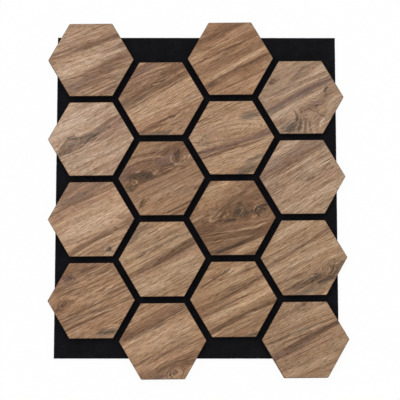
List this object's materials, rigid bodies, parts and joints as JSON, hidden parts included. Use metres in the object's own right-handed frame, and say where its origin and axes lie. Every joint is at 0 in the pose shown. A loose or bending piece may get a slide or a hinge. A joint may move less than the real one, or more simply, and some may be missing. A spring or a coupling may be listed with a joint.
{
  "type": "hexagon acoustic wall panel",
  "caption": "Acoustic wall panel of hexagonal wood-decor board tiles glued in a staggered honeycomb on a black felt backing, with tiles standing over the felt's edges to run on into the next panel.",
  "frame": {"origin": "middle of the felt's back face, which lies on the surface or against the wall", "axes": "+Z out of the panel's face, +Y up the wall as the panel hangs, +X to the right as it is looked at"},
  "size_m": [0.5538, 0.6652, 0.0213],
  "materials": {
    "black_felt": "matte needled felt",
    "walnut_board": "satin walnut decor on dark board"
  },
  "bodies": {
    "root": {"felt_backing": "black_felt", "tile_column1_row1": "walnut_board", "tile_column1_row2": "walnut_board", "tile_column1_row3": "walnut_board", "tile_column1_row4": "walnut_board", "tile_column2_row1": "walnut_board", "tile_column2_row2": "walnut_board", "tile_column2_row3": "walnut_board", "tile_column2_row4": "walnut_board", "tile_column3_row1": "walnut_board", "tile_column3_row2": "walnut_board", "tile_column3_row3": "walnut_board", "tile_column3_row4": "walnut_board", "tile_column4_row1": "walnut_board", "tile_column4_row2": "walnut_board", "tile_column4_row3": "walnut_board", "tile_column4_row4": "walnut_board"}
  },
  "joints": []
}
